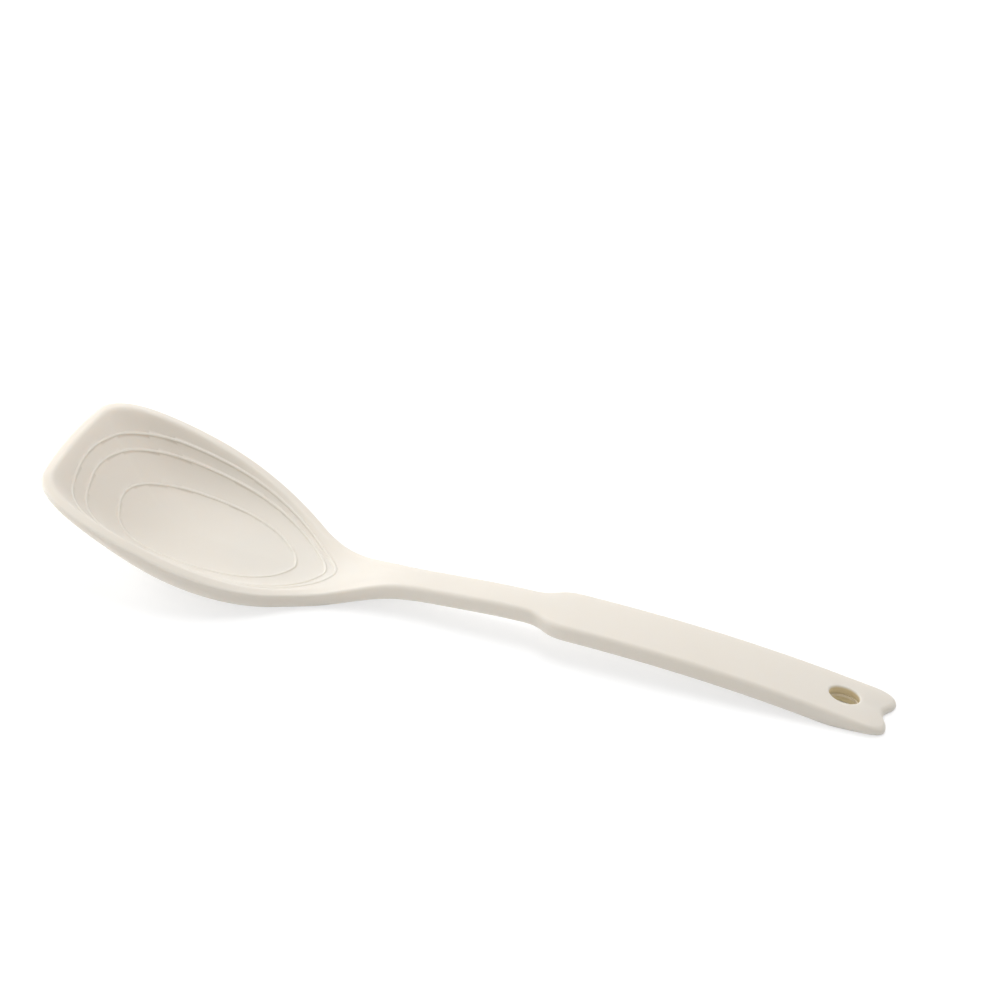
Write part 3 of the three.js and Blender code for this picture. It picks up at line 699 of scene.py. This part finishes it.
# Under the hang hole the table's white glow is left out in an ellipse, a painted shade disc where the
# table shows only its own lit shade.
place = nodes.new("ShaderNodeTexCoord")
painted_shade_under_hole = nodes.new("ShaderNodeMapping")
painted_shade_under_hole.vector_type = "TEXTURE"
painted_shade_under_hole.inputs["Location"].default_value = (hole_centre.x, hole_centre.y, 0.0)
painted_shade_under_hole.inputs["Scale"].default_value = (rim_radii.x, rim_radii.y, 1.0)
radius = nodes.new("ShaderNodeVectorMath")
radius.operation = "LENGTH"
# Zero inside the painted shade disc under the hang hole, the white glow's share outside it.
glow_share_and_hole_shade = add_node(nodes, "ShaderNodeMapRange", From_Min=1.0, From_Max=1.1, To_Max=0.55)
seen = nodes.new("ShaderNodeMixShader")
links.new(place.outputs["Object"], painted_shade_under_hole.inputs["Vector"])
links.new(painted_shade_under_hole.outputs["Vector"], radius.inputs[0])
links.new(radius.outputs["Value"], glow_share_and_hole_shade.inputs["Value"])
links.new(glow_share_and_hole_shade.outputs["Result"], seen.inputs["Fac"])
chosen = nodes.new("ShaderNodeMixShader")
links.new(paper.outputs["BSDF"], seen.inputs[1])
links.new(glow.outputs["Emission"], seen.inputs[2])
links.new(background_rays(nodes, links), chosen.inputs["Fac"])
links.new(paper.outputs["BSDF"], chosen.inputs[1])
links.new(seen.outputs["Shader"], chosen.inputs[2])
links.new(chosen.outputs["Shader"], nodes["Material Output"].inputs["Surface"])
table.data.materials.append(white)

scene = bpy.context.scene
scene.view_settings.view_transform = "Standard"
world = bpy.data.worlds.new("studio")
scene.world = world
world.use_nodes = True
nodes, links = world.node_tree.nodes, world.node_tree.links
soft = nodes["Background"]
soft.inputs["Color"].default_value = (1.0, 1.0, 1.0, 1.0)
soft.inputs["Strength"].default_value = 0.41
backdrop = add_node(nodes, "ShaderNodeBackground", Color=(1.0, 1.0, 1.0, 1.0), Strength=1.0)
chosen = nodes.new("ShaderNodeMixShader")
links.new(background_rays(nodes, links), chosen.inputs["Fac"])
links.new(soft.outputs["Background"], chosen.inputs[1])
links.new(backdrop.outputs["Background"], chosen.inputs[2])
links.new(chosen.outputs["Shader"], nodes["World Output"].inputs["Surface"])


LIGHT_AIM = Vector((0.0, 0.0, 0.01))


def add_softbox(name, place, size, power):
    bpy.ops.object.select_all(action="DESELECT")
    bpy.ops.object.light_add(type="AREA", location=place)
    lamp = bpy.context.object
    lamp.name = name
    lamp.data.shape = "DISK"
    lamp.data.size = size
    lamp.data.energy = power
    towards = LIGHT_AIM - Vector(place)
    lamp.rotation_euler = towards.to_track_quat("-Z", "Y").to_euler()


add_softbox("key_left", (-1.1, 0.4, 0.5), 0.8, 8.8)
add_softbox("top", (0.0, 0.3, 1.3), 0.8, 8.3)
add_softbox("fill_card", (-0.5, -0.35, 0.1), 0.3, 0.5)

LENS_MM = 112.7
VIEW_AZIMUTH = math.radians(20.255)
VIEW_ELEVATION = math.radians(35.381)
VIEW_ROLL = math.radians(0.987)
VIEW_DISTANCE = 1.100
AIM = Vector((0.00486, 0.01943, 0.03943))
back = Vector((
    math.sin(VIEW_AZIMUTH) * math.cos(VIEW_ELEVATION),
    -math.cos(VIEW_AZIMUTH) * math.cos(VIEW_ELEVATION),
    math.sin(VIEW_ELEVATION),
))
bpy.ops.object.camera_add(location=AIM + back * VIEW_DISTANCE)
camera = bpy.context.object
camera.data.lens = LENS_MM
turn = back.to_track_quat("Z", "Y").to_matrix().to_4x4()
roll = Euler((0.0, 0.0, VIEW_ROLL)).to_matrix().to_4x4()
camera.rotation_euler = (turn @ roll).to_euler()
scene.camera = camera
